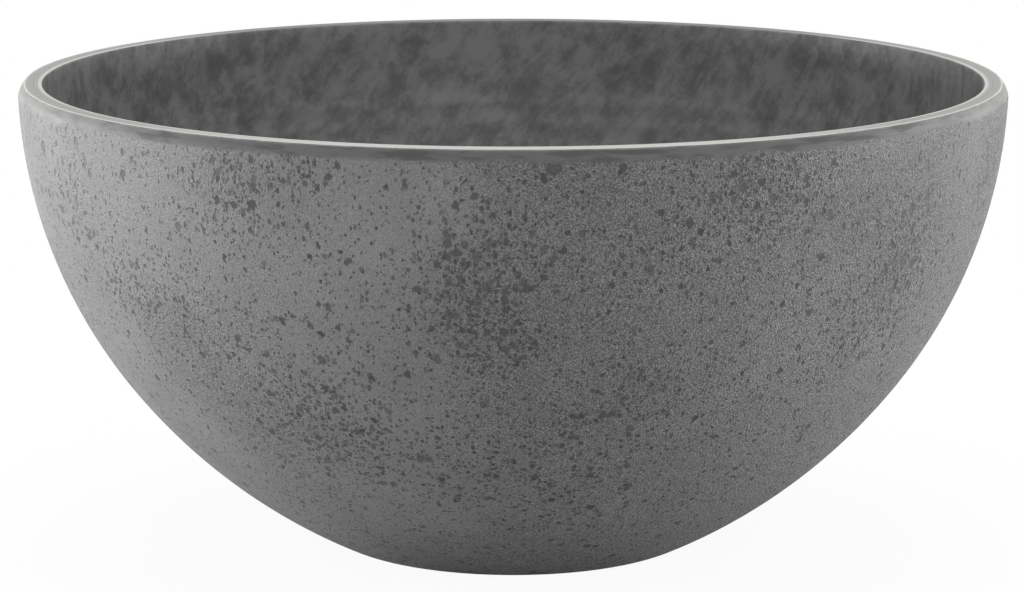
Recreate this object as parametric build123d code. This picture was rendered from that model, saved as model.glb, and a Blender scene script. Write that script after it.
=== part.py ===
from build123d import *

import os
from math import asin, cos, pi, radians, sin, sqrt

# Round bowl planter, moulded in a stone-filled resin, with a water saver disc and a drain plug.
#
# The bowl is one moulding: a near-hemispherical wall of even thickness, between a flat-topped rim with
# a bevelled shoulder and a narrow foot ring round a shallow recess. A drain hole goes through the
# middle of its floor. A rubber plug is pushed up into that hole from below, and its flange and grip
# hide in the recess. A perforated disc stands on three hollow cups on the floor of the bowl. It keeps
# the soil above the water that stays under it, and the soil that fills the cups draws water up. Disc
# and cups are one moulding, written out as a plate and three cups so that each solid stays simple.
#
# Millimetres, +Z up, with the origin at the centre of the foot, in the plane that the bowl stands on.

# Bowl: overall sizes
RIM_DIAMETER = 304.8
BOWL_HEIGHT = 146.0
FOOT_DIAMETER = 97.2        # flat underside of the foot, up to where it curves into the wall
WALL = 7.5
FLOOR_THICKNESS = 7.2

# Bowl: curve of the wall, which is two arcs outside and the same two, a wall thickness in, inside
RIM_DRAFT = 1.8             # degrees that the wall leans in just under the shoulder
ARC_CHANGE_ANGLE = 38.0     # degrees below the horizontal where the lower arc takes over
LOWER_ARC_RATIO = 1.16      # radius of the lower arc over that of the upper arc
TOE_RADIUS = 20.0           # outside, where the wall turns under to the foot
FLOOR_CORNER_RADIUS = 30.0  # inside, where the wall turns in to the floor
UPPER_ARC_RUNS = 2          # faces that the tall upper arc is drawn in, one above the other

# Bowl: rim
SHOULDER_WIDTH = 1.7        # radial width of the smooth shoulder outside the flat top
SHOULDER_DROP = 3.2         # height of the shoulder
RIM_INNER_BEVEL = 0.5       # worn inner edge of the flat top

# Bowl: foot and drain
FOOT_RING_WIDTH = 11.0
RECESS_DEPTH = 3.8
RECESS_CORNER_BEVEL = 1.5
DRAIN_DIAMETER = 22.0
DRAIN_CHAMFER = 1.0         # at the floor of the bowl

# Drain plug
PLUG_CLEARANCE = 0.05       # radial, between the sealing ribs and the hole
PLUG_NOSE_HEIGHT = 1.6      # how far the plug stands up from the floor of the bowl
PLUG_NOSE_CHAMFER = 0.8
PLUG_FLANGE_DIAMETER = 30.0
PLUG_FLANGE_THICKNESS = 1.8
PLUG_FLANGE_BEVEL = 0.5
SEAL_COUNT = 2              # sealing ribs round the stem
SEAL_HEIGHT = 1.1
SEAL_DEPTH = 0.7            # how far they stand out from the stem
SEAL_LEAD = 0.3             # height of the slope above and below each rib
PLUG_WALL = 4.0             # round the hollow that lets the stem give
PLUG_BASE_THICKNESS = 2.6   # from the underside of the flange to that hollow
GRIP_LENGTH = 20.0          # bar under the flange, to pinch and pull
GRIP_WIDTH = 3.4
GRIP_HEIGHT = 1.3

# Water saver disc: plate
RESERVOIR_DEPTH = 23.0      # from the floor of the bowl up to the underside of the plate
PLATE_THICKNESS = 2.0
DISC_GAP = 0.8              # level gap between the disc and the wall of the bowl

# Water saver disc: cups that stand on the floor of the bowl and hold wicking soil
CUP_COUNT = 3
CUP_DIAMETER = 28.0
CUP_WALL = 1.8
CUP_TOE_CLEARANCE = 2.0     # from a cup's foot to where the floor starts to curve up
SLOT_COUNT = 4              # in each cup
SLOT_WIDTH = 3.0
SLOT_BOTTOM = 3.0           # above the foot of the cup
SLOT_TOP = 6.0              # below the underside of the plate

# Water saver disc: drain slits in the plate, and ribs under it
SLIT_LENGTH = 12.0
SLIT_WIDTH = 2.6
SLIT_SPACING = 20.0         # along a ring of slits, before it is rounded to a whole number of slits
SLIT_RING_PITCH = 19.5
SLIT_EDGE_MARGIN = 7.0      # from the outer ring of slits to the edge of the plate
SLIT_CUP_MARGIN = 2.0       # from a slit to a cup, at the least
RIB_THICKNESS = 1.8         # of the spokes under the plate, one in each gap between two cups
RIB_DEPTH = 4.0

RIM_RADIUS = RIM_DIAMETER / 2
FOOT_RADIUS = FOOT_DIAMETER / 2
FLOOR_Z = RECESS_DEPTH + FLOOR_THICKNESS
PLATE_UNDER = FLOOR_Z + RESERVOIR_DEPTH
PLATE_TOP = PLATE_UNDER + PLATE_THICKNESS
FIRST_CUP_ANGLE = 90.0
FULL_TURN = 360.0
FIRST_RIB_ANGLE = FIRST_CUP_ANGLE + FULL_TURN / CUP_COUNT / 2
STANDING = (Align.CENTER, Align.CENTER, Align.MIN)


def aim(below):
    """The unit vector in the profile plane at an angle below the horizontal."""
    return Vector(cos(below), -sin(below))


class Wall:
    """The two arcs of the bowl's wall, tangent to each other and to the toe below them."""

    def __init__(self):
        self.start = radians(RIM_DRAFT)
        self.change = radians(ARC_CHANGE_ANGLE)
        corner = Vector(RIM_RADIUS, BOWL_HEIGHT - SHOULDER_DROP)
        # The lower arc's centre moves off from the corner by drift for each unit of the upper radius. It
        # lies a difference of radii away from the toe's centre, which is a quadratic in that radius.
        stretch = LOWER_ARC_RATIO - 1
        drift = -aim(self.start) - stretch * aim(self.change)
        to_toe = Vector(FOOT_RADIUS, TOE_RADIUS) - corner
        square = drift.dot(drift) - LOWER_ARC_RATIO ** 2
        linear = 2 * (LOWER_ARC_RATIO * TOE_RADIUS - to_toe.dot(drift))
        constant = to_toe.dot(to_toe) - TOE_RADIUS ** 2
        self.upper_radius = 2 * constant / (sqrt(linear ** 2 - 4 * square * constant) - linear)
        self.lower_radius = LOWER_ARC_RATIO * self.upper_radius
        self.upper_centre = corner - self.upper_radius * aim(self.start)
        self.lower_centre = self.upper_centre - stretch * self.upper_radius * aim(self.change)

    def radius_at(self, z, inset):
        """The radius at a height of the surface that lies an inset inside the wall's outside."""
        change_z = self.upper_centre.Y - (self.upper_radius - inset) * sin(self.change)
        centre, radius = self.upper_centre, self.upper_radius - inset
        if z < change_z:
            centre, radius = self.lower_centre, self.lower_radius - inset
        return centre.X + sqrt(radius ** 2 - (centre.Y - z) ** 2)

    def corner_angle(self, inset, level, corner_radius):
        """Where the lower arc hands over to a rounded corner that lies on a level."""
        drop = self.lower_centre.Y - level - corner_radius
        return asin(drop / (self.lower_radius - inset - corner_radius))

    def flat_radius(self, inset, level, corner_radius):
        """How far out that level is flat, up to its rounded corner."""
        reach = self.lower_radius - inset - corner_radius
        return self.lower_centre.X + reach * cos(self.corner_angle(inset, level, corner_radius))


WALL_ARCS = Wall()
PLATE_EDGE = WALL_ARCS.radius_at(PLATE_UNDER, WALL) - DISC_GAP
FLOOR_FLAT_RADIUS = WALL_ARCS.flat_radius(WALL, FLOOR_Z, FLOOR_CORNER_RADIUS)
CUP_CIRCLE_RADIUS = FLOOR_FLAT_RADIUS - CUP_TOE_CLEARANCE - CUP_DIAMETER / 2


def arcs(centre, radius, start, end, runs=1):
    """Runs of an arc of the outline, between two angles below the horizontal."""
    step = (end - start) / runs
    starts = [start + index * step for index in range(runs)]
    return [
        ThreePointArc(*(centre + radius * aim(angle) for angle in (first, first + step / 2, first + step)))
        for first in starts
    ]


def revolved(edges):
    """The solid that a closed outline of (radius, height) sweeps round the Z axis."""
    return revolve(Plane.XZ * make_face(Wire(edges)), Axis.Z, FULL_TURN)


def turned(*points):
    """The same, for an outline of straight runs."""
    return revolved(Polyline(*points, close=True).edges())


def bowl():
    """The bowl, turned from one outline that starts at the mouth of the drain hole."""
    return revolved([*foot_edges(), *outside_edges(), *rim_edges(), *inside_edges(), *drain_edges()])


def foot_edges():
    """Out along the roof of the recess, down its side and across the foot ring."""
    recess = FOOT_RADIUS - FOOT_RING_WIDTH
    return Polyline(
        (DRAIN_DIAMETER / 2, RECESS_DEPTH), (recess - RECESS_CORNER_BEVEL, RECESS_DEPTH),
        (recess, RECESS_DEPTH - RECESS_CORNER_BEVEL), (recess, 0), (FOOT_RADIUS, 0),
    ).edges()


def outside_edges():
    """Up the outside, from the toe to the foot of the shoulder."""
    wall = WALL_ARCS
    toe = wall.corner_angle(0, 0, TOE_RADIUS)
    return [
        *arcs(Vector(FOOT_RADIUS, TOE_RADIUS), TOE_RADIUS, pi / 2, toe),
        *arcs(wall.lower_centre, wall.lower_radius, toe, wall.change),
        *arcs(wall.upper_centre, wall.upper_radius, wall.change, wall.start, UPPER_ARC_RUNS),
    ]


def rim_edges():
    """Over the rim: the shoulder, the flat top and the worn inner edge."""
    bevel_z = BOWL_HEIGHT - RIM_INNER_BEVEL
    bevel_radius = WALL_ARCS.radius_at(bevel_z, WALL)
    return Polyline(
        (RIM_RADIUS, BOWL_HEIGHT - SHOULDER_DROP), (RIM_RADIUS - SHOULDER_WIDTH, BOWL_HEIGHT),
        (bevel_radius + RIM_INNER_BEVEL, BOWL_HEIGHT), (bevel_radius, bevel_z),
    ).edges()


def inside_edges():
    """Down the inside, from the rim to where the floor is flat."""
    wall = WALL_ARCS
    drop = wall.upper_centre.Y - (BOWL_HEIGHT - RIM_INNER_BEVEL)
    rim = asin(drop / (wall.upper_radius - WALL))
    floor = wall.corner_angle(WALL, FLOOR_Z, FLOOR_CORNER_RADIUS)
    floor_centre = Vector(FLOOR_FLAT_RADIUS, FLOOR_Z + FLOOR_CORNER_RADIUS)
    return [
        *arcs(wall.upper_centre, wall.upper_radius - WALL, rim, wall.change, UPPER_ARC_RUNS),
        *arcs(wall.lower_centre, wall.lower_radius - WALL, wall.change, floor),
        *arcs(floor_centre, FLOOR_CORNER_RADIUS, floor, pi / 2),
    ]


def drain_edges():
    """In across the floor and down the drain hole, whose upper edge is broken so that water runs in."""
    radius = DRAIN_DIAMETER / 2
    return Polyline(
        (FLOOR_FLAT_RADIUS, FLOOR_Z), (radius + DRAIN_CHAMFER, FLOOR_Z),
        (radius, FLOOR_Z - DRAIN_CHAMFER), (radius, RECESS_DEPTH),
    ).edges()


def drain_plug():
    """The rubber plug: a hollow stem with sealing ribs, a flange in the recess and a bar to pinch."""
    flange_z = RECESS_DEPTH - PLUG_FLANGE_THICKNESS
    flange = PLUG_FLANGE_DIAMETER / 2
    stem = DRAIN_DIAMETER / 2 - PLUG_CLEARANCE - SEAL_DEPTH
    nose_z = FLOOR_Z + PLUG_NOSE_HEIGHT
    hollow = stem - PLUG_WALL
    hollow_z = flange_z + PLUG_BASE_THICKNESS
    pitch = (FLOOR_THICKNESS - DRAIN_CHAMFER) / SEAL_COUNT
    seals = [point for index in range(SEAL_COUNT)
             for point in seal_points(stem, RECESS_DEPTH + (index + 0.5) * pitch)]
    plug = turned(
        (0, flange_z), (flange - PLUG_FLANGE_BEVEL, flange_z), (flange, flange_z + PLUG_FLANGE_BEVEL),
        (flange, RECESS_DEPTH), (stem, RECESS_DEPTH), *seals,
        (stem, nose_z - PLUG_NOSE_CHAMFER), (stem - PLUG_NOSE_CHAMFER, nose_z),
        (hollow, nose_z), (hollow, hollow_z), (0, hollow_z),
    )
    return plug + Pos(0, 0, flange_z) * extrude(SlotOverall(GRIP_LENGTH, GRIP_WIDTH), -GRIP_HEIGHT)


def seal_points(stem, z):
    """A sealing rib round the stem at a height, sloped above and below so that it slides in."""
    low, high = z - SEAL_HEIGHT / 2, z + SEAL_HEIGHT / 2
    return [
        (stem, low - SEAL_LEAD), (stem + SEAL_DEPTH, low),
        (stem + SEAL_DEPTH, high), (stem, high + SEAL_LEAD),
    ]


def cup_places():
    """Where the cups stand, round the axis of the bowl."""
    return list(PolarLocations(CUP_CIRCLE_RADIUS, CUP_COUNT, start_angle=FIRST_CUP_ANGLE))


def disc_plate():
    """The disc with its ribs, slits and a round opening into each cup."""
    top_edge = WALL_ARCS.radius_at(PLATE_TOP, WALL) - DISC_GAP
    blank = turned((0, PLATE_UNDER), (PLATE_EDGE, PLATE_UNDER), (top_edge, PLATE_TOP), (0, PLATE_TOP))
    plate = blank + disc_ribs()
    plate -= [place * cup_body(0) for place in cup_places()]
    return plate - drain_slits()


def disc_cups():
    """The cups under the disc, each with upright slots that let water in through its side."""
    cup = cup_body(0) - cup_body(CUP_WALL) - cup_slots()
    return Compound([place * cup for place in cup_places()])


def cup_body(inset):
    """The outside of a cup or, with the cup's wall as the inset, its hollow."""
    foot_z = FLOOR_Z + inset
    return Pos(0, 0, foot_z) * Cylinder(CUP_DIAMETER / 2 - inset, PLATE_TOP - foot_z, align=STANDING)


def cup_slots():
    """The cutters for the slots of one cup, from inside its hollow out through its side."""
    height = RESERVOIR_DEPTH - SLOT_BOTTOM - SLOT_TOP
    slot = Box(2 * CUP_WALL, SLOT_WIDTH, height, align=(Align.MAX, Align.CENTER, Align.MIN))
    slot = Pos(CUP_DIAMETER / 2, 0, FLOOR_Z + SLOT_BOTTOM) * slot
    return [place * slot for place in PolarLocations(0, SLOT_COUNT)]


def disc_ribs():
    """Spokes under the plate, from its centre to its edge, one between each two cups."""
    spoke_end = WALL_ARCS.radius_at(PLATE_UNDER - RIB_DEPTH, WALL) - DISC_GAP
    side = Plane.XZ * make_face(Polyline(
        (0, -RIB_DEPTH), (spoke_end, -RIB_DEPTH), (PLATE_EDGE, 0), (0, 0), close=True))
    spoke = Pos(0, 0, PLATE_UNDER) * extrude(side, RIB_THICKNESS / 2, both=True)
    return [place * spoke for place in PolarLocations(0, CUP_COUNT, start_angle=FIRST_RIB_ANGLE)]


def drain_slits():
    """The cutters for rings of radial slits, from the edge inwards, leaving out those near a cup."""
    keep_off = (CUP_DIAMETER + SLIT_LENGTH) / 2 + SLIT_CUP_MARGIN
    slit = Pos(0, 0, PLATE_TOP) * Box(SLIT_LENGTH, SLIT_WIDTH, 3 * PLATE_THICKNESS)
    first_radius = PLATE_EDGE - SLIT_EDGE_MARGIN - SLIT_LENGTH / 2
    slits = []
    for ring in range(int(first_radius / SLIT_RING_PITCH)):
        radius = first_radius - ring * SLIT_RING_PITCH
        count = CUP_COUNT * round(2 * pi * radius / (CUP_COUNT * SLIT_SPACING))
        first_angle = FIRST_RIB_ANGLE + FULL_TURN / count / 2
        for place in PolarLocations(radius, count, start_angle=first_angle):
            if all((place.position - cup.position).length > keep_off for cup in cup_places()):
                slits.append(place * slit)
    return slits


PARTS = {"bowl": bowl, "drain_plug": drain_plug, "disc_plate": disc_plate, "disc_cups": disc_cups}

os.makedirs("parts", exist_ok=True)
for name, make in PARTS.items():
    export_step(make(), f"parts/{name}.step")
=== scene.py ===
from math import asin, atan2, cos, degrees, exp, hypot, pi, radians, sin, sqrt

import bpy
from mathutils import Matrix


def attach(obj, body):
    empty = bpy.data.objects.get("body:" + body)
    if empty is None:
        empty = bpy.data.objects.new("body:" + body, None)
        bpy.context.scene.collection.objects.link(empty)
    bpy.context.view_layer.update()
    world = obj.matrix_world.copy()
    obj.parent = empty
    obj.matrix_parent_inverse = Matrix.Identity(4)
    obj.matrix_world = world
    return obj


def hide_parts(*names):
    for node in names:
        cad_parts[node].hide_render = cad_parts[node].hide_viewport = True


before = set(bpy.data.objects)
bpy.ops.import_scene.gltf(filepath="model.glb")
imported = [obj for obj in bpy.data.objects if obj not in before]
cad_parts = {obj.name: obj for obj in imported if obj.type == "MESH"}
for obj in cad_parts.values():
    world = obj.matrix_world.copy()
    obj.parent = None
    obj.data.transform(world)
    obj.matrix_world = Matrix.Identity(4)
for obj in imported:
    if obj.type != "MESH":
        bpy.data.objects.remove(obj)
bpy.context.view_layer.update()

bpy.context.scene.view_settings.view_transform = "Standard"


# The viewpoint: a long lens a little over a metre in front of the bowl, looking down on it by eleven
# degrees, so that the far side of the rim shows above the near side.
CAMERA_PLACE, CAMERA_TILT, LENS_LENGTH = (-0.00038, -1.2177, 0.3087), 79.21, 139.2
bpy.ops.object.camera_add(location=CAMERA_PLACE, rotation=(radians(CAMERA_TILT), 0, 0))
camera = bpy.context.object
camera.name = "front_camera"
camera.data.lens = LENS_LENGTH
camera.data.sensor_width = 36.0
camera.data.clip_end = 50.0
bpy.context.scene.camera = camera


# The studio: a white surround, a broad soft lamp overhead, a low wide one at each side that makes the
# flanks of the bowl paler than its front, and two weak fills from the front, one high and one low.
def soft_lamp(name, place, aim_at, width, height, power):
    """A flat lamp that looks from its place at a point."""
    bpy.ops.object.light_add(type="AREA", location=place)
    lamp = bpy.context.object
    lamp.name = name
    lamp.data.shape = "RECTANGLE"
    lamp.data.size, lamp.data.size_y = width, height
    lamp.data.energy = power
    flat = hypot(aim_at[0] - place[0], aim_at[1] - place[1])
    lamp.rotation_euler = (
        pi / 2 - atan2(place[2] - aim_at[2], flat), 0,
        atan2(aim_at[1] - place[1], aim_at[0] - place[0]) - pi / 2)


soft_lamp("overhead_lamp", (0.0, 0.2, 1.7), (0.0, 0.0, 0.1), 1.3, 1.3, 9.0)
soft_lamp("left_lamp", (-1.3, 0.22, 0.1), (0.0, 0.0, 0.08), 1.0, 0.19, 22.0)
soft_lamp("right_lamp", (1.3, 0.12, 0.1), (0.0, 0.0, 0.08), 1.0, 0.19, 16.0)
soft_lamp("front_fill", (0.5, -1.9, 0.9), (0.0, 0.0, 0.08), 0.5, 0.5, 3.4)
soft_lamp("low_fill", (-0.3, -1.9, 0.12), (0.0, 0.0, 0.06), 0.8, 0.2, 5.0)


def add_node(tree, kind, inputs=None, **settings):
    """A node with its settings, and its inputs by name or number, each a value or a socket to link."""
    made = tree.nodes.new("ShaderNode" + kind)
    for name, value in settings.items():
        setattr(made, name, value)
    for name, value in (inputs or {}).items():
        if isinstance(value, bpy.types.NodeSocket):
            tree.links.new(value, made.inputs[name])
        else:
            made.inputs[name].default_value = value
    return made


def maths(tree, operation, *values, clamp=False):
    """The output of a Math node."""
    made = add_node(tree, "Math", dict(enumerate(values)), operation=operation, use_clamp=clamp)
    return made.outputs[0]


def ramp(tree, value, low, high, to_low=0.0, to_high=1.0):
    """A value eased from one range to another, and held at its ends."""
    return add_node(tree, "MapRange", {
        "Value": value, "From Min": low, "From Max": high, "To Min": to_low, "To Max": to_high,
    }, interpolation_type="SMOOTHSTEP").outputs["Result"]


def seen_directly(tree, path):
    """One where the surround is seen by the camera, in a gloss or through glass."""
    glossy_or_clear = maths(
        tree, "MAXIMUM", path.outputs["Is Glossy Ray"], path.outputs["Is Transmission Ray"])
    return maths(tree, "MAXIMUM", path.outputs["Is Camera Ray"], glossy_or_clear)


world = bpy.data.worlds.new("white_surround")
bpy.context.scene.world = world
world.use_nodes = True
tree = world.node_tree
tree.nodes.clear()
path = add_node(tree, "LightPath")
SURROUND_LIGHT, SURROUND_SEEN = 0.5, 1.0    # how strong it shines on the bowl, and how white it looks
seen = seen_directly(tree, path)
surround = add_node(tree, "Background", {
    "Color": (1.0, 1.0, 1.0, 1.0),
    "Strength": ramp(tree, seen, 0.0, 1.0, SURROUND_LIGHT, SURROUND_SEEN)})
add_node(tree, "OutputWorld", {"Surface": surround.outputs[0]})


# The floor: a matt white sweep. Near the bowl it shows the bowl's soft shadow, and further out it is
# as white as the surround.
FLOOR_SIZE = 12.0
SHADOW_SHARE = 0.06                    # how much darker the floor looks under the bowl
SHADOW_START, SHADOW_END = 0.07, 0.26  # where the darker place starts to fade, and where it is gone
bpy.ops.mesh.primitive_plane_add(size=FLOOR_SIZE)
floor = bpy.context.object
floor.name = "studio_floor"
bpy.ops.object.mode_set(mode="EDIT")
bpy.ops.mesh.subdivide(number_cuts=3)
bpy.ops.object.mode_set(mode="OBJECT")
floor_paint = bpy.data.materials.new("floor_paint")
floor_paint.use_nodes = True
tree = floor_paint.node_tree
tree.nodes.clear()
path = add_node(tree, "LightPath")
place = add_node(tree, "TexCoord").outputs["Object"]
distance = add_node(tree, "VectorMath", {0: place}, operation="LENGTH").outputs["Value"]
far = ramp(tree, distance, SHADOW_START, SHADOW_END)
camera_white = ramp(tree, far, 0.0, 1.0, 1 - SHADOW_SHARE, 1.0)
white_share = maths(
    tree, "ADD", maths(tree, "MULTIPLY", path.outputs["Is Camera Ray"], camera_white),
    maths(tree, "MULTIPLY", path.outputs["Is Glossy Ray"], far), clamp=True)
matt = add_node(tree, "BsdfDiffuse", {"Color": (0.93, 0.93, 0.93, 1.0)})
white = add_node(tree, "Emission", {"Color": (1.0, 1.0, 1.0, 1.0), "Strength": 1.0})
mixed = add_node(tree, "MixShader", {0: white_share, 1: matt.outputs[0], 2: white.outputs[0]})
add_node(tree, "OutputMaterial", {"Surface": mixed.outputs[0]})
floor.data.materials.append(floor_paint)


# The bowl: one casting of stone-filled resin, shaped in a mould that turns its outline about the
# upright axis. Outside it has a pebbled coat with dark bare spots, and its rim, shoulder and inside
# are smooth. It stands on a narrow ring round a shallow recess.
BOWL_HEIGHT, FOOT_RADIUS, WALL = 146.0, 48.6, 7.5
UPPER_CENTRE, UPPER_RADIUS = (-1.886, 147.649), 154.362
LOWER_CENTRE, LOWER_RADIUS = (-21.348, 162.854), 179.060
ARC_CHANGE = 38.0           # degrees below the horizontal where the lower arc takes over
SHOULDER_ANGLE = 2.4        # degrees below the horizontal where the wall meets the shoulder
SHOULDER_FOOT, SHOULDER_BOW = 141.6, 0.55
TOE_RADIUS, FLOOR_CORNER_RADIUS, FLOOR_FLAT, FLOOR_Z = 20.0, 30.0, 50.70, 11.0
TOE_ANGLE, FLOOR_ANGLE = 63.9, 59.4
CREASE_RADIUS, CREASE_ROUND, INNER_ROUND = 150.7, 0.35, 0.55
RIM_TOP, RIM_REACH = 145.98, 152.35    # just inside the box of the solid
RECESS_RADIUS, RECESS_DEPTH, RECESS_BEVEL, FOOT_BEVEL = 37.6, 3.8, 1.5, 0.4
DRAIN_RADIUS, DRAIN_CHAMFER = 11.0, 1.0
RIPPLES = ((28.2, 0.16), (35.5, 0.14))   # rings in the inside: depth below the rim, height
RIPPLE_WIDTH = 1.9
TURN_STEPS = 256
CREASE_ANGLE = 28           # edges sharper than this, in degrees, stay crisp


def wall_radius(height, inset=0.0):
    """The radius at a height of the surface that lies an inset inside the bowl's outside."""
    centre, radius = UPPER_CENTRE, UPPER_RADIUS - inset
    if height < centre[1] - radius * sin(radians(ARC_CHANGE)):
        centre, radius = LOWER_CENTRE, LOWER_RADIUS - inset
    return centre[0] + sqrt(radius ** 2 - (centre[1] - height) ** 2)


def arc_points(centre, radius, first, last, spacing):
    """Points along an arc, between two angles below the horizontal."""
    count = max(2, round(abs(radians(last - first)) * radius / spacing))
    angles = [radians(first + (last - first) * index / count) for index in range(count + 1)]
    return [(centre[0] + radius * cos(angle), centre[1] - radius * sin(angle)) for angle in angles]


def run_points(first, last, count):
    """Points along a straight run, without its last."""
    return [(first[0] + (last[0] - first[0]) * index / count,
             first[1] + (last[1] - first[1]) * index / count) for index in range(count)]


def bowl_outline():
    """The bowl's outline, from the mouth of the drain hole out, up, over the rim and back inside."""
    recess_corner = (RECESS_RADIUS, RECESS_DEPTH - RECESS_BEVEL)
    recess_round = (RECESS_RADIUS - RECESS_BEVEL, RECESS_DEPTH - RECESS_BEVEL)
    foot_inner = (RECESS_RADIUS + FOOT_BEVEL, 0.0)
    points = run_points((DRAIN_RADIUS, RECESS_DEPTH), (RECESS_RADIUS - RECESS_BEVEL, RECESS_DEPTH), 5)
    points += arc_points(recess_round, RECESS_BEVEL, -90, 0, 0.4)
    points += run_points(recess_corner, (RECESS_RADIUS, FOOT_BEVEL), 2)
    points += run_points((RECESS_RADIUS, FOOT_BEVEL), foot_inner, 1)
    points += run_points(foot_inner, (FOOT_RADIUS, 0.0), 4)
    points += arc_points((FOOT_RADIUS, TOE_RADIUS), TOE_RADIUS, 90, TOE_ANGLE, 1.2)
    points += arc_points(LOWER_CENTRE, LOWER_RADIUS, TOE_ANGLE, ARC_CHANGE, 1.7)[1:]
    points += arc_points(UPPER_CENTRE, UPPER_RADIUS, ARC_CHANGE, SHOULDER_ANGLE, 1.7)[1:]
    points += shoulder_points()
    crease_round = (CREASE_RADIUS - CREASE_ROUND, RIM_TOP - CREASE_ROUND)
    points += arc_points(crease_round, CREASE_ROUND, -35, -90, 0.12)
    inner_edge = wall_radius(BOWL_HEIGHT, WALL) + INNER_ROUND
    points += run_points((CREASE_RADIUS - CREASE_ROUND - 0.6, RIM_TOP), (inner_edge, RIM_TOP), 6)
    points += arc_points((inner_edge, RIM_TOP - INNER_ROUND), INNER_ROUND, 270, 180, 0.15)
    points += inside_points()
    floor_corner = (FLOOR_FLAT, FLOOR_Z + FLOOR_CORNER_RADIUS)
    drain_edge = (DRAIN_RADIUS + DRAIN_CHAMFER, FLOOR_Z)
    drain_top = (DRAIN_RADIUS, FLOOR_Z - DRAIN_CHAMFER)
    points += arc_points(floor_corner, FLOOR_CORNER_RADIUS, FLOOR_ANGLE, 90, 1.7)[1:]
    points += run_points((FLOOR_FLAT, FLOOR_Z), drain_edge, 8)[1:]
    points += run_points(drain_edge, drain_top, 2)
    points += run_points(drain_top, (DRAIN_RADIUS, RECESS_DEPTH), 3)
    return points


def shoulder_points():
    """The rolled shoulder, a soft S from the top of the wall in to the crease."""
    low, high = (RIM_REACH, SHOULDER_FOOT), (CREASE_RADIUS + 0.05, RIM_TOP - CREASE_ROUND)
    points = []
    for index in range(1, 14):
        share = index / 14
        bow = SHOULDER_BOW * sin(pi * share) ** 0.8
        points.append((low[0] + (high[0] - low[0]) * share ** 1.5 + 0.25 * bow,
                       low[1] + (high[1] - low[1]) * share + 0.1 * bow))
    return [(min(radius, RIM_REACH), height) for radius, height in points]


def inside_points():
    """Down the inside of the wall, with the faint rings that the mould left."""
    start = degrees(asin((UPPER_CENTRE[1] - RIM_TOP + INNER_ROUND) / (UPPER_RADIUS - WALL)))
    points = arc_points(UPPER_CENTRE, UPPER_RADIUS - WALL, start, 20, 0.8)[1:]
    points += arc_points(UPPER_CENTRE, UPPER_RADIUS - WALL, 20, ARC_CHANGE, 1.8)[1:]
    points += arc_points(LOWER_CENTRE, LOWER_RADIUS - WALL, ARC_CHANGE, FLOOR_ANGLE, 1.8)[1:]
    ringed = []
    for radius, height in points:
        depth = BOWL_HEIGHT - height
        rise = sum(top * exp(-((depth - at) / RIPPLE_WIDTH) ** 2) for at, top in RIPPLES)
        ringed.append((radius - rise, height))
    return ringed


def turned_piece(name, outline, steps):
    """A piece drawn as an outline in millimetres, point after point, and spun round its axis."""
    bpy.ops.object.select_all(action="DESELECT")
    start = outline[0]
    bpy.ops.mesh.primitive_plane_add(size=0.001, location=(start[0] / 1000, 0, start[1] / 1000))
    piece = bpy.context.object
    piece.name = name
    bpy.ops.object.transform_apply(location=True, rotation=False, scale=False)
    bpy.ops.object.mode_set(mode="EDIT")
    bpy.ops.mesh.select_all(action="SELECT")
    bpy.ops.mesh.merge(type="CENTER")
    for (r1, z1), (r2, z2) in zip(outline, outline[1:] + outline[:1]):
        step = ((r2 - r1) / 1000, 0, (z2 - z1) / 1000)
        bpy.ops.mesh.extrude_region_move(TRANSFORM_OT_translate={"value": step})
    bpy.ops.mesh.select_all(action="SELECT")
    bpy.ops.mesh.spin(steps=steps, angle=2 * pi, center=(0, 0, 0), axis=(0, 0, 1))
    bpy.ops.mesh.select_all(action="SELECT")
    bpy.ops.mesh.remove_doubles(threshold=0.000004)
    bpy.ops.mesh.normals_make_consistent(inside=False)
    bpy.ops.object.mode_set(mode="OBJECT")
    bpy.ops.object.shade_smooth_by_angle(angle=radians(CREASE_ANGLE))
    return piece


bowl = turned_piece("bowl_shell", bowl_outline(), TURN_STEPS)

# Clusters of bare spots on the outside: degrees round from the front towards the right, height, and
# half width in millimetres, and how crowded the spots are at the middle of the cluster.
SPOT_CLUSTERS = (
    (-31, 134, 14, 0.60), (-22, 139, 10, 0.35), (-3, 118, 17, 0.50), (-5, 101, 13, 0.70),
    (-2, 88, 12, 0.45), (25, 135, 12, 0.60), (31, 128, 12, 0.50), (17, 116, 11, 0.35),
    (49, 112, 13, 0.60), (50, 97, 12, 0.60), (44, 84, 11, 0.35), (-50, 97, 12, 0.45),
    (-42, 93, 10, 0.35), (-24, 72, 16, 0.40), (-22, 54, 17, 0.45), (-30, 62, 14, 0.35),
    (16, 74, 13, 0.45), (8, 62, 12, 0.35), (-5, 46, 16, 0.45), (9, 39, 13, 0.35),
    (-60, 120, 12, 0.40), (72, 128, 13, 0.45), (82, 96, 16, 0.50), (100, 134, 13, 0.55),
    (97, 70, 15, 0.45), (118, 112, 16, 0.60), (131, 84, 14, 0.50), (140, 136, 12, 0.45),
    (150, 60, 16, 0.45), (158, 108, 15, 0.60), (176, 128, 14, 0.55), (184, 88, 15, 0.45),
    (198, 112, 13, 0.55), (206, 58, 15, 0.45), (214, 136, 13, 0.50), (226, 92, 15, 0.55),
    (240, 122, 15, 0.55), (252, 66, 14, 0.45), (262, 100, 15, 0.50), (276, 132, 13, 0.55),
    (284, 78, 14, 0.45),
)

# Single larger places where the coat has come off: degrees round from the front towards the right,
# height, and half width in millimetres.
BARE_PATCHES = (
    (4.1, 141.2, 2.2), (-66.0, 133.0, 1.9), (103.0, 120.0, 2.3), (171.0, 139.0, 2.2),
    (243.0, 104.0, 2.0),
)

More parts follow.
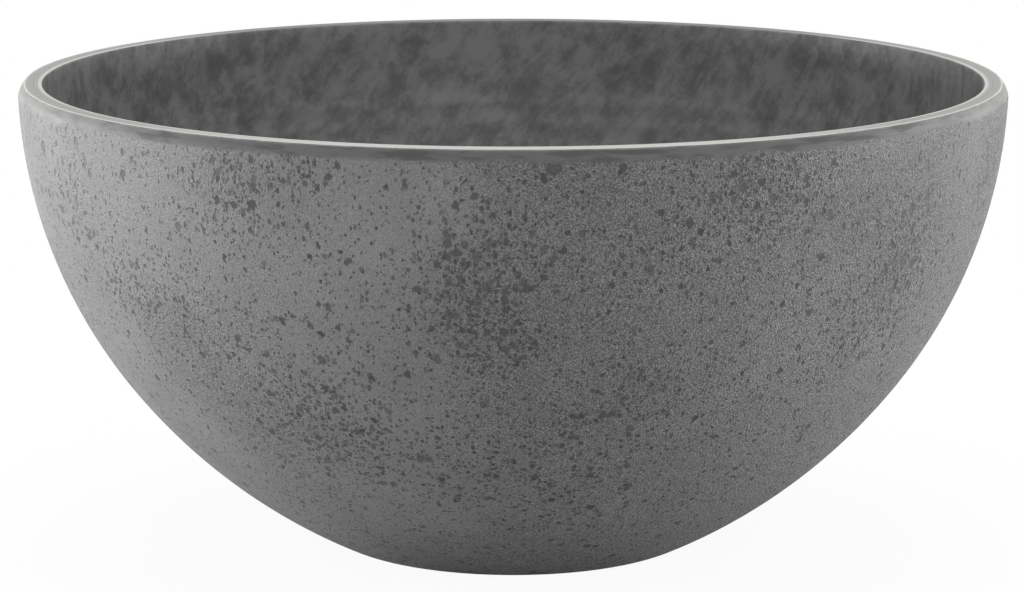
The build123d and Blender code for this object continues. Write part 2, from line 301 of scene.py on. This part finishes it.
LEAST_CROWDING, MORE_AT_FOOT = 0.10, 0.08   # between the clusters
COAT_DEPTH, COAT_TOP, SKIN_TOP = 2.0, 142.0, 145.5   # what counts as the outside of the mesh


def crowding(x, y, z):
    """How crowded the bare spots are at a point of the outside, from none to one."""
    most = LEAST_CROWDING + MORE_AT_FOOT * (1 - z / BOWL_HEIGHT)
    for turn, height, width, share in SPOT_CLUSTERS:
        angle = radians(turn)
        radius = wall_radius(height)
        across, along = x - radius * sin(angle), y + radius * cos(angle)
        apart = sqrt(across ** 2 + along ** 2 + (z - height) ** 2)
        most += (share - LEAST_CROWDING) * exp(-(apart / width) ** 2)
    return min(most, 1.0)


def paint_bowl_zones(mesh):
    """Marks the outside, and how crowded its bare spots are, on the points of the mesh."""
    outside = mesh.attributes.new("outside", "FLOAT", "POINT")
    spots = mesh.attributes.new("spot_crowding", "FLOAT", "POINT")
    for point in mesh.vertices:
        x, y, z = (1000 * value for value in point.co)
        is_outside = hypot(x, y) > wall_radius(min(z, COAT_TOP), COAT_DEPTH) and z < SKIN_TOP
        outside.data[point.index].value = float(is_outside)
        spots.data[point.index].value = crowding(x, y, z) if is_outside else 0.0


paint_bowl_zones(bowl.data)


def new_group(name, inputs, outputs):
    """An empty node group with number and vector sockets, and its two end nodes."""
    group = bpy.data.node_groups.new(name, "ShaderNodeTree")
    for socket_name, kind, default in inputs:
        socket = group.interface.new_socket(
            socket_name, in_out="INPUT", socket_type="NodeSocket" + kind)
        if default is not None:
            socket.default_value = default
    for socket_name, kind in outputs:
        group.interface.new_socket(
            socket_name, in_out="OUTPUT", socket_type="NodeSocket" + kind)
    return group, group.nodes.new("NodeGroupInput"), group.nodes.new("NodeGroupOutput")


def use_group(tree, group, inputs):
    """A group placed in a material with its own values."""
    made = add_node(tree, "Group", node_tree=group)
    for name, value in inputs.items():
        if isinstance(value, bpy.types.NodeSocket):
            tree.links.new(value, made.inputs[name])
        else:
            made.inputs[name].default_value = value
    return made


def grain_group():
    """Fine grain of a moulded skin: a height and a shade that vary together, at a grain size in mm."""
    group, source, target = new_group(
        "moulded_grain",
        (("Place", "Vector", None), ("Grain Size", "Float", 0.8), ("Pebbles", "Float", 0.5)),
        (("Height", "Float"), ("Shade", "Float")))
    scale = maths(group, "DIVIDE", 1000.0, source.outputs["Grain Size"])
    pebbles = add_node(group, "TexVoronoi", {
        "Vector": source.outputs["Place"], "Scale": scale, "Smoothness": 0.4}, feature="SMOOTH_F1")
    fine = add_node(group, "TexNoise", {
        "Vector": source.outputs["Place"], "Scale": scale, "Detail": 2.0, "Roughness": 0.55,
        "Distortion": 0.6})
    rounded = maths(group, "SUBTRACT", 0.55, pebbles.outputs["Distance"])
    height = maths(group, "MULTIPLY_ADD", rounded, source.outputs["Pebbles"], fine.outputs["Fac"])
    group.links.new(height, target.inputs["Height"])
    group.links.new(ramp(group, height, 0.3, 0.85), target.inputs["Shade"])
    return group


def spots_group():
    """Irregular spots, more of them where they are crowded: up to one in a spot, nought outside."""
    group, source, target = new_group(
        "bare_spots",
        (("Place", "Vector", None), ("Spot Size", "Float", 2.6), ("Crowding", "Float", 0.3)),
        (("Mask", "Float"),))
    scale = maths(group, "DIVIDE", 1000.0, source.outputs["Spot Size"])
    bend = add_node(group, "TexNoise", {
        "Vector": source.outputs["Place"], "Scale": maths(group, "MULTIPLY", scale, 1.7),
        "Detail": 2.0})
    shift = add_node(group, "VectorMath", {
        0: bend.outputs["Color"], 1: (0.5, 0.5, 0.5)}, operation="SUBTRACT")
    reach = maths(group, "DIVIDE", 0.95, scale)
    shift = add_node(group, "VectorMath", {0: shift.outputs[0], "Scale": reach}, operation="SCALE")
    bent = add_node(group, "VectorMath", {
        0: source.outputs["Place"], 1: shift.outputs[0]}, operation="ADD")
    taller = add_node(group, "VectorMath", {
        0: bent.outputs[0], 1: (1.0, 1.0, 0.8)}, operation="MULTIPLY")
    cells = add_node(group, "TexVoronoi", {"Vector": taller.outputs[0], "Scale": scale})
    chance = add_node(group, "SeparateColor", {"Color": cells.outputs["Color"]})
    there = maths(group, "LESS_THAN", chance.outputs["Red"], source.outputs["Crowding"])
    size = maths(group, "MULTIPLY_ADD", chance.outputs["Green"], 0.30, 0.22)
    inside = maths(group, "SUBTRACT", size, cells.outputs["Distance"])
    strength = maths(group, "MULTIPLY_ADD", chance.outputs["Blue"], 0.4, 0.6)
    depth = maths(group, "MULTIPLY", there, strength)
    mask = maths(group, "MULTIPLY", depth, ramp(group, inside, -0.08, 0.13))
    group.links.new(mask, target.inputs["Mask"])
    return group


GRAIN, SPOTS = grain_group(), spots_group()

# The bare spots come in three sizes: millimetres apart, how closely they keep to the clusters, how many
# there are at the middle of a cluster, and how many more or fewer anywhere.
SPOT_SORTS = ((2.7, 1.2, 1.15, -0.02), (1.45, 1.0, 1.35, -0.01), (0.85, 1.0, 0.9, 0.05))
COAT_EDGE, COAT_EDGE_DRIFT = 0.1411, 0.0035          # metres up the wall
CREASE_LINE, LIP_LINE = 0.15035, 0.1454              # radii of the two cream edges of the flat top
FLAT_TOP_FROM, FLAT_TOP_FULL = 0.14582, 0.14594      # heights


def shades(tree, factor, low, high):
    """A mix of two colours, each a colour or a socket to link."""
    mix = add_node(tree, "Mix", {"Factor": factor}, data_type="RGBA")
    for socket, value in ((mix.inputs["A"], low), (mix.inputs["B"], high)):
        if isinstance(value, bpy.types.NodeSocket):
            tree.links.new(value, socket)
        else:
            socket.default_value = (*value, 1.0)
    return mix.outputs["Result"]


def bowl_material():
    """Grey stone-filled resin: pebbled coat with bare spots outside, smooth elsewhere."""
    material = bpy.data.materials.new("stone_resin")
    material.use_nodes = True
    tree = material.node_tree
    tree.nodes.clear()
    place = add_node(tree, "TexCoord").outputs["Object"]
    axes = add_node(tree, "SeparateXYZ", {0: place})
    flat_place = add_node(tree, "CombineXYZ", {0: axes.outputs["X"], 1: axes.outputs["Y"]})
    from_axis = add_node(tree, "VectorMath", {0: flat_place.outputs[0]}, operation="LENGTH")
    radius = from_axis.outputs["Value"]
    outside = add_node(tree, "Attribute", attribute_name="outside").outputs["Fac"]
    crowded = add_node(tree, "Attribute", attribute_name="spot_crowding").outputs["Fac"]

    # The coat thins out at the foot of the shoulder.
    ragged = add_node(tree, "TexNoise", {
        "Vector": place, "Scale": 75.0, "Detail": 3.0, "Roughness": 0.6})
    edge_height = maths(
        tree, "MULTIPLY_ADD", ragged.outputs["Fac"], COAT_EDGE_DRIFT, COAT_EDGE)
    below_edge = maths(tree, "SUBTRACT", edge_height, axes.outputs["Z"])
    coated = maths(tree, "MULTIPLY", outside, ramp(tree, below_edge, -0.0006, 0.0010))

    # Bare spots of three sizes, where the coat is missing, and single larger patches.
    bare = 0.0
    for spot_size, sharpness, share, least in SPOT_SORTS:
        crowd = maths(tree, "MULTIPLY_ADD", maths(tree, "POWER", crowded, sharpness), share, least)
        spots = use_group(tree, SPOTS, {
            "Place": place, "Spot Size": spot_size, "Crowding": crowd})
        bare = maths(tree, "MAXIMUM", bare, spots.outputs["Mask"])
    for turn, height, width in BARE_PATCHES:
        reach = wall_radius(height) / 1000
        middle = (reach * sin(radians(turn)), -reach * cos(radians(turn)), height / 1000)
        apart = add_node(tree, "VectorMath", {0: place, 1: middle}, operation="DISTANCE")
        rough_edge = maths(
            tree, "MULTIPLY_ADD", ragged.outputs["Fac"], -0.002, width / 1000 + 0.001)
        within = maths(tree, "SUBTRACT", rough_edge, apart.outputs["Value"])
        patch = ramp(tree, within, -0.0003, 0.0004, 0.0, 0.8)
        bare = maths(tree, "MAXIMUM", bare, patch)
    bare = maths(tree, "MULTIPLY", bare, coated)
    coat = maths(tree, "SUBTRACT", coated, bare)

    # Coat: fine sand, crisper on some sides of the bowl than on others, and most of all on the right.
    # There its stronger flecks are partly real grain and partly a painted glint of light on the grain.
    drift = add_node(tree, "TexNoise", {"Vector": place, "Scale": 9.0, "Detail": 1.0})
    drifted = maths(tree, "MULTIPLY_ADD", axes.outputs["X"], 1.3, drift.outputs["Fac"])
    grain = use_group(tree, GRAIN, {"Place": place, "Grain Size": 0.42, "Pebbles": 0.5})
    crispness_and_painted_glint = ramp(tree, drifted, 0.36, 0.62, 0.45, 1.25)
    grain_shade = maths(
        tree, "MULTIPLY", maths(tree, "SUBTRACT", grain.outputs["Shade"], 0.5), crispness_and_painted_glint)
    cloud = add_node(tree, "TexNoise", {
        "Vector": place, "Scale": 28.0, "Detail": 4.0, "Roughness": 0.55})
    soft_cloud = maths(tree, "MULTIPLY_ADD", cloud.outputs["Fac"], 0.5, 0.27)
    soft_cloud = maths(tree, "MULTIPLY_ADD", crowded, -0.08, soft_cloud)
    # Painted light: the coat is painted paler towards the foot, in place of light thrown up from the
    # floor.
    painted_floor_bounce = ramp(tree, axes.outputs["Z"], 0.02, 0.07, 0.06, 0.0)
    soft_cloud = maths(tree, "ADD", soft_cloud, painted_floor_bounce)
    tone = maths(tree, "MULTIPLY_ADD", grain_shade, 1.15, soft_cloud, clamp=True)
    coat_colour = shades(tree, tone, (0.070, 0.070, 0.073), (0.242, 0.245, 0.244))

    # Smooth skin inside and on the shoulder: cloudy, with slanting streaks that the pour left.
    lean = add_node(tree, "Mapping", {
        "Vector": place, "Rotation": (0.0, 0.7, 0.0), "Scale": (1.0, 1.0, 2.6)}, vector_type="TEXTURE")
    streaks = add_node(tree, "TexNoise", {
        "Vector": lean.outputs[0], "Scale": 170.0, "Detail": 5.0, "Roughness": 0.68,
        "Distortion": 0.5})
    blotches = add_node(tree, "TexNoise", {
        "Vector": place, "Scale": 80.0, "Detail": 5.0, "Roughness": 0.7})
    blotch_share = maths(tree, "MULTIPLY", blotches.outputs["Fac"], 0.55)
    smooth_tone = maths(tree, "MULTIPLY_ADD", streaks.outputs["Fac"], 0.45, blotch_share)
    inside_colour = shades(
        tree, ramp(tree, smooth_tone, 0.38, 0.60), (0.105, 0.104, 0.108), (0.232, 0.230, 0.229))

    # Painted light and shade: the shoulder is painted lighter at the sides and darker at the front and
    # back.
    # It has long smears at the front and back.
    painted_side_light = ramp(tree, maths(tree, "ABSOLUTE", axes.outputs["X"]), 0.085, 0.150)
    flat_lay = add_node(tree, "VectorMath", {
        0: place, 1: (1.0, 1.0, 6.0)}, operation="MULTIPLY")
    smears = add_node(tree, "TexNoise", {
        "Vector": flat_lay.outputs[0], "Scale": 85.0, "Detail": 3.0, "Roughness": 0.55})
    smear_strength = ramp(tree, painted_side_light, 0.0, 1.0, 0.9, 0.2)
    smeared = maths(
        tree, "MULTIPLY", ramp(tree, smears.outputs["Fac"], 0.45, 0.64), smear_strength)
    shoulder_colour = shades(tree, painted_side_light, (0.092, 0.092, 0.093), (0.215, 0.214, 0.210))
    shoulder_colour = shades(tree, smeared, shoulder_colour, (0.045, 0.046, 0.045))
    smooth_colour = shades(tree, outside, inside_colour, shoulder_colour)
    colour = shades(tree, coated, smooth_colour, coat_colour)
    colour = shades(tree, bare, colour, (0.024, 0.024, 0.025))

    # The flat top is paler than the wall, with turning lines and cream edges. Its front carries a
    # painted highlight, and it is darker at the back.
    near_top = ramp(tree, axes.outputs["Z"], FLAT_TOP_FROM, FLAT_TOP_FULL)
    off_crease = maths(tree, "ABSOLUTE", maths(tree, "SUBTRACT", radius, CREASE_LINE))
    crease = ramp(tree, off_crease, 0.0002, 0.0006, 1.0, 0.0)
    off_lip = maths(tree, "ABSOLUTE", maths(tree, "SUBTRACT", radius, LIP_LINE))
    lip = ramp(tree, off_lip, 0.0005, 0.0012, 1.0, 0.0)
    rings = add_node(tree, "CombineXYZ", {0: radius})
    lines = add_node(tree, "TexNoise", {"Vector": rings.outputs[0], "Scale": 1900.0, "Detail": 2.0})
    ring_shade = ramp(tree, lines.outputs["Fac"], 0.35, 0.65)
    top_colour = shades(tree, ring_shade, (0.21, 0.21, 0.2), (0.36, 0.357, 0.34))
    cream = maths(tree, "MAXIMUM", crease, lip)
    top_colour = shades(tree, cream, top_colour, (0.62, 0.61, 0.57))
    # Painted highlight: the front of the flat top is painted pale, where light on it shows as one
    # bright line.
    painted_front_highlight = ramp(tree, axes.outputs["Y"], -0.142, -0.095, 0.8, 0.0)
    top_colour = shades(tree, painted_front_highlight, top_colour, (0.64, 0.63, 0.60))
    # The flat top is darker towards the back.
    darker_at_back = ramp(tree, axes.outputs["Y"], 0.075, 0.130, 0.0, 0.9)
    top_colour = shades(tree, darker_at_back, top_colour, (0.075, 0.082, 0.088))
    colour = shades(tree, near_top, colour, top_colour)

    # Height: the coat stands proud of the bare spots and carries the grain. The top has turning lines.
    top_lines = maths(tree, "MULTIPLY", maths(tree, "MULTIPLY", near_top, ring_shade), 0.12)
    crisp_grain = maths(tree, "MULTIPLY", grain.outputs["Height"], crispness_and_painted_glint)
    grain_height = maths(tree, "MULTIPLY", maths(tree, "MULTIPLY", crisp_grain, coat), 1.9)
    spot_height = maths(tree, "MULTIPLY", bare, -0.5)
    height = maths(tree, "ADD", maths(tree, "ADD", grain_height, spot_height), top_lines)
    bump = add_node(tree, "Bump", {"Strength": 0.9, "Distance": 0.0003, "Height": height})

    rougher_outside = ramp(tree, outside, 0.0, 1.0, 0.5, 0.6)
    smoother_top = maths(tree, "MULTIPLY", near_top, 0.1)
    roughness = maths(tree, "SUBTRACT", rougher_outside, smoother_top)
    skin = add_node(tree, "BsdfPrincipled", {
        "Base Color": colour, "Roughness": roughness, "IOR": 1.5, "Normal": bump.outputs[0]})
    add_node(tree, "OutputMaterial", {"Surface": skin.outputs[0]})
    return material


bowl.data.materials.append(bowl_material())
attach(bowl, "bowl")
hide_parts("bowl")


# The water saver disc: one black polypropylene moulding that stands loose in the bowl on three hollow
# cups. Its plate is slit so that water drains past it.
def moulded_plastic():
    """Black polypropylene with a fine spark-eroded texture, a little dusty."""
    material = bpy.data.materials.new("disc_polypropylene")
    material.use_nodes = True
    tree = material.node_tree
    tree.nodes.clear()
    place = add_node(tree, "TexCoord").outputs["Object"]
    grain = use_group(tree, GRAIN, {"Place": place, "Grain Size": 0.5, "Pebbles": 0.6})
    dust = add_node(tree, "TexNoise", {
        "Vector": place, "Scale": 45.0, "Detail": 4.0, "Roughness": 0.6})
    dusty = ramp(tree, dust.outputs["Fac"], 0.45, 0.75)
    colour = shades(tree, dusty, (0.008, 0.008, 0.0085), (0.020, 0.019, 0.018))
    bump = add_node(tree, "Bump", {
        "Strength": 0.35, "Distance": 0.0001, "Height": grain.outputs["Height"]})
    roughness = ramp(tree, dusty, 0.0, 1.0, 0.42, 0.58)
    skin = add_node(tree, "BsdfPrincipled", {
        "Base Color": colour, "Roughness": roughness, "IOR": 1.49, "Normal": bump.outputs[0]})
    add_node(tree, "OutputMaterial", {"Surface": skin.outputs[0]})
    return material


disc_plastic = moulded_plastic()
for node_name in ("disc_plate", "disc_cups"):
    for material_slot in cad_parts[node_name].material_slots:
        material_slot.material = disc_plastic


# The drain plug: soft black rubber, pushed up into the hole from below.
def plug_rubber():
    """Matt black rubber with a bloom on its skin."""
    material = bpy.data.materials.new("soft_rubber")
    material.use_nodes = True
    tree = material.node_tree
    tree.nodes.clear()
    place = add_node(tree, "TexCoord").outputs["Object"]
    grain = use_group(tree, GRAIN, {"Place": place, "Grain Size": 0.35, "Pebbles": 0.3})
    bloom = add_node(tree, "TexNoise", {"Vector": place, "Scale": 130.0, "Detail": 4.0})
    bloomed = ramp(tree, bloom.outputs["Fac"], 0.4, 0.7)
    colour = shades(tree, bloomed, (0.006, 0.006, 0.006), (0.016, 0.016, 0.0155))
    bump = add_node(tree, "Bump", {
        "Strength": 0.25, "Distance": 0.00008, "Height": grain.outputs["Height"]})
    skin = add_node(tree, "BsdfPrincipled", {
        "Base Color": colour, "Roughness": 0.68, "IOR": 1.52, "Normal": bump.outputs[0]})
    add_node(tree, "OutputMaterial", {"Surface": skin.outputs[0]})
    return material


rubber = plug_rubber()
for material_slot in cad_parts["drain_plug"].material_slots:
    material_slot.material = rubber
